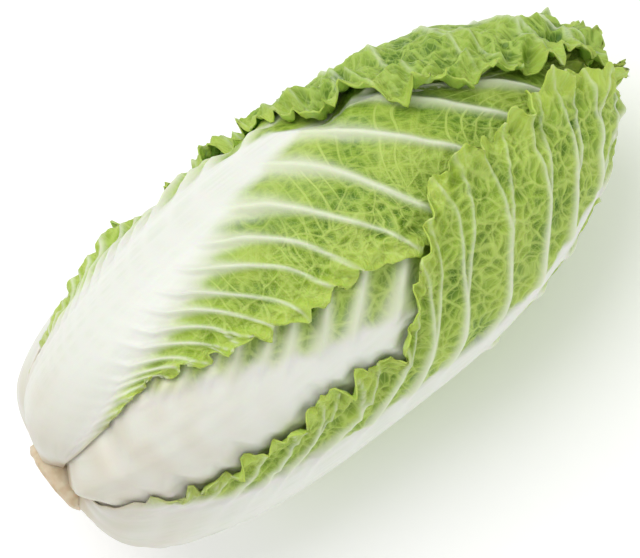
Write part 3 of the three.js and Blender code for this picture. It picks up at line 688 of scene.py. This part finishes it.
rearSideLeaf = {
    **wrapperLeaf,
    "name": "rearSideLeaf", "seed": 307, "start": 18, "tip": 350,
    "rib": [[22, -86], [60, -94], [120, -98], [200, -96], [280, -86], [320, -72], [350, -50]],
    "left": [[22, -116], [80, -128], [160, -132], [210, -138], [250, -150], [300, -148], [330, -118],
             [350, -80]],
    "reach": [[16, 16], [22, 22], [50, 58], [92, 106], [120, 136], [150, 165], [175, 189], [200, 212],
              [225, 238], [250, 265], [275, 292], [300, 318], [325, 336], [350, 345]],
    "right": [[22, -56], [60, -66], [110, -71], [150, -71], [170, -65], [184, -58], [205, -41], [217, -30],
              [236, -22], [245, -14], [268, -6], [289, 0], [303, 6], [330, 16], [343, 60], [352, 80]],
    "frillLeft": [[0, 0.2], [240, 0.3], [300, 0.6]], "frillRight": [[60, 0.3], [185, 0.5], [225, 1]],
    "lift": [[0, 1], [80, 1], [150, -1], [190, -0.5], [230, 0], [300, 0.5], [330, 1], [350, 0]],
    "flareRight": [[0, 0], [190, 0], [220, 1], [300, 1]],
    "frill": 5.2, "frillWidth": 26.0, "nick": 2.0, "roll": 1.7, "rollWidth": 7.0,
    "crinkle": 1.9, "crease": 5.6, "bubble": 0.7, "hollowDepth": 2.3,
    # Strong painted shade in the crown's folds and creases, and a darker green over the whole leaf that is
    # partly painted shade.
    "darkerAndShadedStretches": [[0, 0.6]], "shade": 1.0, "mottle": 0.6,
    "veins": [66, 80, 95, 112, 130, 150, 172, 196, 220, 246, 272, 298, 322],
    "veinWidth": 1.2, "ladderRise": 0.4, "paleVeins": 0.65, "veinFade": 0.8, "netCell": 6.2, "netOn": 0.6,
    "columns": (36, 14, 66), "crowding": 1.2,
}

lowerRearLeaf = {
    **wrapperLeaf,
    "name": "lowerRearLeaf", "seed": 401, "start": 18, "tip": 346,
    "rib": [[22, 222], [90, 224], [200, 226], [320, 224]],
    "left": [[22, 190], [70, 186], [140, 182], [200, 176], [250, 160], [310, 166], [348, 200]],
    "right": [[22, 254], [70, 262], [140, 266], [200, 272], [250, 286], [310, 284], [348, 262]],
    "lift": [[0, 0]], "frill": 2.2, "roll": 0.6,
    "veins": [84, 98, 113, 130, 150, 172, 196, 222, 250, 280],
    "columns": (44, 16, 44), "rowSpacing": [[20, 2.0], [340, 1.7]],
}

topBroadLeaf = {
    **wrapperLeaf,
    "name": "topBroadLeaf", "seed": 503, "start": 18, "tip": 330,
    "rib": [[22, -12], [50, -13], [82, -16], [109, -20], [140, -26], [167, -30], [194, -32], [217, -30],
            [249, -24], [300, -8]],
    "left": [[22, -48], [60, -58], [82, -61], [112, -62], [143, -64], [175, -66], [205, -64], [230, -72],
             [300, -80], [340, -70]],
    "right": [[22, 15], [50, 17], [94, 14], [118, 20], [140, 25], [163, 29], [185, 29], [199, 31], [215, 37],
              [250, 60], [300, 72], [340, 60]],
    "reach": [[16, 16], [22, 22], [50, 62], [78, 100], [96, 121], [114, 144], [133, 168], [154, 196],
              [178, 230], [204, 272], [227, 302], [250, 318], [280, 326], [330, 330]],
    "bend": 1.6,
    "lift": [[0, 0.5], [200, 0.5], [235, -2.5], [300, -7]],
    "flareLeft": [[0, 1], [60, 5], [110, 7], [170, 7], [205, 3], [230, 0]], "frillLeft": [[0, 1.2]],
    "flareRight": [[0, 1], [120, 1.6], [210, 1.6], [250, 0]],
    "veins": [52, 57, 62, 68, 74, 80, 87, 94, 102, 110, 119, 129, 140, 153, 169, 188, 212, 240, 272],
    "nick": 1.3, "veinWidth": 2.0, "forkShare": 0.25, "forkAt": (0.55, 0.8), "slantOn": 1.0, "veinRise": 2.4,
    "ladderRise": 1.3, "veinSpread": 0.34, "leftSpread": 0.2, "netOn": 0.35, "netCell": 5.0, "slantLean": 1.9,
    "frill": 4.8, "roll": 1.4, "rollWidth": 7.0, "bubble": 0.9,
    "ribHalf": [[20, 11], [50, 20], [85, 22], [125, 23], [165, 18], [195, 9], [220, 4], [270, 2], [330, 1.5]],
    # Painted shadow from about 215 mm on, where the blade lies under the rear side leaf's margin.
    "darkerAndShadedStretches": [[0, -0.05], [170, 0.05], [215, 0.8]], "shade": 0.6,
    "greenFrom": [[40, 6], [70, 1], [100, 0], [130, -1], [170, -2], [240, -6]],
    "columns": (26, 16, 84), "rowSpacing": [[20, 1.7], [60, 1.1], [80, 0.95], [250, 0.95], [330, 1.2]],
}

topFrontLeaf = {
    **wrapperLeaf,
    "name": "topFrontLeaf", "seed": 601, "start": 18, "tip": 326,
    "rib": [[22, 34], [60, 36], [92, 42], [121, 47], [142, 51], [170, 55], [230, 62], [320, 66]],
    "left": [[22, 2], [60, -4], [120, -8], [200, -14], [250, -24], [320, -30]],
    "right": [[22, 68], [60, 76], [120, 80], [200, 86], [250, 104], [320, 110]],
    "lift": [[0, -0.5], [140, -0.5], [220, -3], [300, -4]],
    "frill": 3.0,
    "ribHalf": [[20, 11], [50, 19], [85, 22], [121, 19], [142, 15], [170, 11], [200, 7], [240, 4], [320, 2]],
    "greenFrom": [[40, 14], [80, 5], [130, 3], [170, 1], [240, -3]],
    "greenFade": [[40, 16], [100, 9], [240, 7]],
    "veins": [66, 73, 80, 87, 95, 103, 112, 122, 133, 145, 158, 173, 190, 214, 242, 276],
    "veinSpread": 0.42, "veinWidth": 2.3, "footTint": 0.6, "footReach": 170, "darkerAndShadedStretches": [[0, 0.1], [160, 0.4]],
    "columns": (44, 24, 44), "rowSpacing": [[20, 1.7], [200, 1.4], [340, 1.8]],
}

# From the outermost leaf inwards.
for leaf, node, slotName, leafSkin in (
    (undersideLeaf, "leaf_underside", "ribbed_leaf", outerSkin),
    (frontSideLeaf, "leaf_front_side", "wrapper_leaf", wrapperSkin),
    (rearSideLeaf, "leaf_rear_side", "wrapper_leaf", outerSkin),
    (lowerRearLeaf, "leaf_lower_rear", "wrapper_leaf", outerSkin),
    (topBroadLeaf, "leaf_top_broad", "wrapper_leaf", wrapperSkin),
    (topFrontLeaf, "leaf_top_front", "ribbed_leaf", wrapperSkin),
):
    finishPiece(growLeaf(leaf), node, leafSkin)

innerLeaf = {
    **wrapperLeaf,
    "start": 30,
    "ribHalf": [[20, 9], [60, 18], [120, 20], [180, 14], [240, 7], [300, 3]],
    "ribRise": [[20, 0.5], [200, 1], [300, 0.5]],
    "ribFlesh": [[20, 3.5], [80, 4], [170, 3], [240, 1.5], [300, 0.6]],
    "veins": [90, 120, 150, 182, 215, 248, 280, 310],
    "frill": 7.0, "frillWidth": 20.0, "roll": 1.8, "crinkle": 1.6, "crease": 2.5,
    "footDrop": 0.0, "gap": 1.5, "footTint": 0.3, "darkerAndShadedStretches": [[0, 0.3]],
    "columns": (30, 10, 30), "rowSpacing": [[20, 3.0], [240, 2.4], [290, 1.3]],
    "turns": (5, 149, 293, 77, 221),    # where their ribs start about the axis
    "twist": 6,
    "spanLeft": [[30, -34], [120, -46], [210, -56], [270, -66], [340, -60]],
    "spanRight": [[30, 34], [120, 46], [210, 60], [270, 72], [340, 70]],
}
for k, azimuth in enumerate(innerLeaf["turns"]):
    leaf = {
        **innerLeaf,
        "name": f"innerLeaf{k + 1}", "seed": 700 + 40 * k, "tip": 336 + 2 * (k % 3),
        "rib": [[30, azimuth], [330, azimuth + innerLeaf["twist"]]],
        "left": [[s, azimuth + span] for s, span in innerLeaf["spanLeft"]],
        "right": [[s, azimuth + span] for s, span in innerLeaf["spanRight"]],
        "lift": [[0, -9], [200, -8], [290, -6 - k], [320, -1 - k], [340, 2 - k]],
    }
    finishPiece(growLeaf(leaf), f"leaf_inner_{k + 1}", innerSkin)


# The heart: leaves folded tight inside, as one closed form with spiral folds and ruffled tips.
heart = {
    "start": 52, "end": 340,    # mm along the head
    "round": 128, "rows": 150,
    "depth": [[52, -16], [120, -17], [260, -15], [340, -12]],   # mm under the head's outline
    "folds": 3, "foldDepth": 2.5, "foldTwist": 160,             # mm along over which they shift by one fold
    "crownFrom": 270, "crownTo": 335, "gap": 0.8,
}


def foldHeart():
    # A ball whose rings become the head's own cross-sections.
    bm = bmesh.new()
    bmesh.ops.create_uvsphere(bm, u_segments=heart["round"], v_segments=heart["rows"], radius=1)
    mesh = bpy.data.meshes.new("heartLeaves")
    bm.to_mesh(mesh)
    bm.free()
    ball = pointsOf(mesh)
    azimuth = np.arctan2(ball[:, 1], ball[:, 0]) / deg
    level = np.arccos(np.clip(ball[:, 2], -1, 1)) / math.pi * heart["rows"]
    share = 1 - (level - 1) / (heart["rows"] - 2)
    s = heart["start"] + (heart["end"] - heart["start"]) * np.clip(share, 0, 1)
    depth = through(heart["depth"], s)
    twist = azimuth / 360 * heart["folds"] + s / heart["foldTwist"]
    fold = heart["foldDepth"] * (twist - np.floor(twist)) ** 1.5
    crown = ease(heart["crownFrom"], heart["crownTo"], s)
    crownWave = 2.2 * ripple(azimuth, (30.0, 17.0, 11.0), 31) + 1.2 * swell(place(s, azimuth, depth), 9, 32)
    height = np.minimum(depth - fold + crown * crownWave, roomUnder(s, azimuth, heart["gap"]))
    spots = place(s, azimuth, height)
    # Each pole goes to the middle of the ring next to it.
    for pole, lastRing in ((share < 0, 0), (share > 1, 1)):
        spots[pole] = spots[np.isclose(share, lastRing, atol=1e-6)].mean(axis=0)
    values = {key: 0 * s for key in ("pale", "rim", "foot", "slant", "slantOn")}
    # Painted shade: darker deep in the folds and over the crown.
    values["darkGreenAndShade"] = np.clip(0.5 * crown + 0.5 * fold / heart["foldDepth"], 0, 1)
    values["green"] = ease(120, 300, s)
    values["netOn"] = 0 * s + 1
    values["weave"] = np.stack([s, azimuth * deg * radiusAt(s), 0 * s], axis=-1)
    paint(mesh, values)
    piece = putPiece(mesh, spots)
    bm = bmesh.new()
    bm.from_mesh(mesh)
    bmesh.ops.recalc_face_normals(bm, faces=bm.faces[:])
    bm.to_mesh(mesh)
    bm.free()
    return piece


finishPiece(foldHeart(), "heart_leaves", innerSkin)


# The stem, cut across with a knife. Lengths are in mm, and places are along the head's axis.
stem = {
    "radius": 17.0, "face": -147.0, "rim": 4.5,
    "neckRadius": 16.0, "neckX": -136.0, "topRadius": 6.0, "top": -122.0,
    "sides": 96,
    "cut": "#e6d8bd", "bark": "#d9c4a2", "scar": "#b99a70",
    "ring": 11.0, "ringSway": 6.0, "ringWidth": 1.6,    # the ring of vessels, and how unevenly it runs
    "blotch": 7.0, "pore": 1.2,
}


def cutStem():
    # A profile of (radius, place) from the middle of the cut face to the top, spun about the head's axis.
    bm = bmesh.new()
    profile = [
        (0, stem["face"]), (stem["radius"] - 1.5, stem["face"]), (stem["radius"], stem["face"] + 1),
        (stem["radius"], stem["face"] + stem["rim"]), (stem["neckRadius"], stem["face"] + 1.5 * stem["rim"]),
        (stem["neckRadius"] - 2, stem["neckX"]), (stem["topRadius"], stem["top"]), (0, stem["top"]),
    ]
    corners = [bm.verts.new((x - headForm["restX"], 0, radius)) for radius, x in profile]
    edges = [bm.edges.new(pair) for pair in zip(corners, corners[1:])]
    bmesh.ops.subdivide_edges(bm, edges=edges, cuts=5)
    bmesh.ops.spin(bm, geom=bm.verts[:] + bm.edges[:], cent=(0, 0, 0), axis=(1, 0, 0), angle=math.tau,
                   steps=stem["sides"], use_merge=True, use_duplicate=False)
    bmesh.ops.remove_doubles(bm, verts=bm.verts[:], dist=1e-4)
    bmesh.ops.recalc_face_normals(bm, faces=bm.faces[:])
    mesh = bpy.data.meshes.new("stemButt")
    bm.to_mesh(mesh)
    bm.free()
    spots = pointsOf(mesh)
    around = np.arctan2(spots[:, 1], spots[:, 2])
    radius = np.hypot(spots[:, 1], spots[:, 2])
    onFace = ease(stem["face"] - headForm["restX"] + 1, stem["face"] - headForm["restX"], spots[:, 0])
    wobble = 1 + 0.02 * np.sin(5 * around + 1) + 0.012 * np.sin(9 * around)
    spots[:, 1] *= wobble
    spots[:, 2] *= wobble
    spots[:, 0] += onFace * (0.25 * swell(spots, 8, 41) + 0.15 * np.cos(radius * 1.4))
    spots[:, 2] += headForm["restHeight"]
    return putPiece(mesh, spots)


def stemMaterial():
    # Cut stem: sliced across, so it is matt. Its pale wet pith dries to buff in blotches, and the ring of
    # vessels round the pith browns first.
    material = bpy.data.materials.new("cutStemPith")
    material.use_nodes = True
    tree = material.node_tree
    skin = tree.nodes["Principled BSDF"]
    for key, value in {
        "Roughness": 0.55, "IOR": 1.4, "Subsurface Weight": 0.2, "Subsurface Scale": 2.0 * mm,
    }.items():
        skin.inputs[key].default_value = value
    spot = addNode(tree, "ShaderNodeTexCoord").outputs["Object"]
    blotch, pores = (
        addNode(tree, "ShaderNodeTexNoise", None, {"Scale": 1 / (stem[key] * mm), "Detail": detail},
                {"Vector": spot})
        for key, detail in (("blotch", 4.0), ("pore", 2.0))
    )
    ramp = addNode(tree, "ShaderNodeValToRGB", links={"Fac": blotch.outputs[0]})
    stops = ramp.color_ramp.elements
    stops.new(0.42)
    for stop, colour, position in zip(stops, ("scar", "bark", "cut"), (0.28, 0.42, 0.6)):
        stop.color = linear(stem[colour])
        stop.position = position

    # Distance from the head's axis, swayed by the blotches, gives the ring.
    centred = addNode(tree, "ShaderNodeVectorMath", {"operation": "SUBTRACT"},
                      {1: (0, 0, headForm["restHeight"] * mm)}, {0: spot})
    flattened = addNode(tree, "ShaderNodeVectorMath", {"operation": "MULTIPLY"}, {1: (0, 1, 1)},
                        {0: centred.outputs[0]})
    fromAxis = addNode(tree, "ShaderNodeVectorMath", {"operation": "LENGTH"}, links={0: flattened.outputs[0]})
    uneven = addNode(tree, "ShaderNodeMath", {"operation": "MULTIPLY_ADD"}, {1: stem["ringSway"] * mm},
                     {0: blotch.outputs[0], 2: fromAxis.outputs["Value"]})
    ringMiddle = (stem["ring"] + stem["ringSway"] / 2) * mm
    off = addNode(tree, "ShaderNodeMath", {"operation": "SUBTRACT"}, {1: ringMiddle}, {0: uneven.outputs[0]})
    away = addNode(tree, "ShaderNodeMath", {"operation": "ABSOLUTE"}, links={0: off.outputs[0]})
    ringShare = addNode(tree, "ShaderNodeMapRange", {"interpolation_type": "SMOOTHSTEP"}, {
        "From Min": 0.0, "From Max": stem["ringWidth"] * mm, "To Min": 0.5, "To Max": 0.0,
    }, {"Value": away.outputs[0]})
    tint = addNode(tree, "ShaderNodeMix", {"data_type": "RGBA"}, links={"Factor": ringShare.outputs[0]})
    tree.links.new(ramp.outputs[0], tint.inputs[6])
    tint.inputs[7].default_value = linear(stem["scar"])
    tree.links.new(tint.outputs[2], skin.inputs["Base Color"])
    bump = addNode(tree, "ShaderNodeBump", None, {"Strength": 0.5, "Distance": 0.4 * mm},
                   {"Height": pores.outputs[0]})
    tree.links.new(bump.outputs[0], skin.inputs["Normal"])
    return material


finishPiece(cutStem(), "stem_butt", stemMaterial())


# The studio: a pale floor, two soft lamps and the camera at the photograph's angle.
studio = {
    "viewTurn": 20.0,      # the camera stands this far round from straight above, towards the front side
    "roll": 37.87,         # the head's axis runs up to the right in the picture
    "distance": 1.2,
    "pixelsPerMm": 2.37,   # at the head's axis, in a picture 640 pixels wide
    "pictureWidth": 640,
    "sensorWidth": 36,
    "aim": (1.64 * mm, 0.0, headForm["restHeight"] * mm),
    "shiftRight": -1.54 * mm,
    "shiftUp": -3.88 * mm,
    "floor": "#ffffff",
    "floorGlow": 0.12,     # lifts the floor to the burnt-out white of a product picture
    "keyPower": 10.0,
    "fillPower": 3.0,
    "skyStrength": 0.6,
}

back = Vector((0, -math.sin(studio["viewTurn"] * deg), math.cos(studio["viewTurn"] * deg)))
level = Vector((0, math.cos(studio["viewTurn"] * deg), math.sin(studio["viewTurn"] * deg)))
right = math.cos(studio["roll"] * deg) * Vector((1, 0, 0)) - math.sin(studio["roll"] * deg) * level
up = math.sin(studio["roll"] * deg) * Vector((1, 0, 0)) + math.cos(studio["roll"] * deg) * level
aim = Vector(studio["aim"]) + right * studio["shiftRight"] + up * studio["shiftUp"]

cameraData = bpy.data.cameras.new("camera")
cameraData.sensor_width = studio["sensorWidth"]
pixelsPerMetre = studio["pixelsPerMm"] / mm
cameraData.lens = pixelsPerMetre * studio["distance"] * studio["sensorWidth"] / studio["pictureWidth"]
cameraData.clip_end = 20
camera = bpy.data.objects.new("camera", cameraData)
facing = Matrix((right, up, back)).transposed().to_4x4()
camera.matrix_world = Matrix.Translation(aim + back * studio["distance"]) @ facing
bpy.context.collection.objects.link(camera)
bpy.context.scene.camera = camera

bm = bmesh.new()
bmesh.ops.create_grid(bm, x_segments=1, y_segments=1, size=4)
floorMesh = bpy.data.meshes.new("floor")
bm.to_mesh(floorMesh)
bm.free()
floorPiece = bpy.data.objects.new("floor", floorMesh)
bpy.context.collection.objects.link(floorPiece)
# Matt white paper, lifted a little by a glow: it shows only the head's soft shadow.
floorMaterial = bpy.data.materials.new("studioFloor")
floorMaterial.use_nodes = True
for key, value in {
    "Base Color": linear(studio["floor"]), "Roughness": 0.9,
    "Emission Color": linear(studio["floor"]), "Emission Strength": studio["floorGlow"],
}.items():
    floorMaterial.node_tree.nodes["Principled BSDF"].inputs[key].default_value = value
floorMesh.materials.append(floorMaterial)


def areaLight(name, direction, distance, size, power):
    data = bpy.data.lights.new(name, "AREA")
    data.shape = "DISK"
    data.size = size
    data.energy = power
    lamp = bpy.data.objects.new(name, data)
    spot = Vector(studio["aim"]) + direction.normalized() * distance
    lamp.matrix_world = Matrix.Translation(spot) @ direction.to_track_quat("Z", "Y").to_matrix().to_4x4()
    bpy.context.collection.objects.link(lamp)


areaLight("key", -0.5 * right + 0.6 * up + 0.9 * back, 1.4, 1.3, studio["keyPower"])
areaLight("fill", 0.9 * right - 0.4 * up + 0.8 * back, 1.5, 1.6, studio["fillPower"])

world = bpy.data.worlds.new("studioSky")
bpy.context.scene.world = world
world.use_nodes = True
world.node_tree.nodes["Background"].inputs[0].default_value = linear("#ffffff")
world.node_tree.nodes["Background"].inputs[1].default_value = studio["skyStrength"]
bpy.context.scene.view_settings.view_transform = "Standard"
print("studio ready")
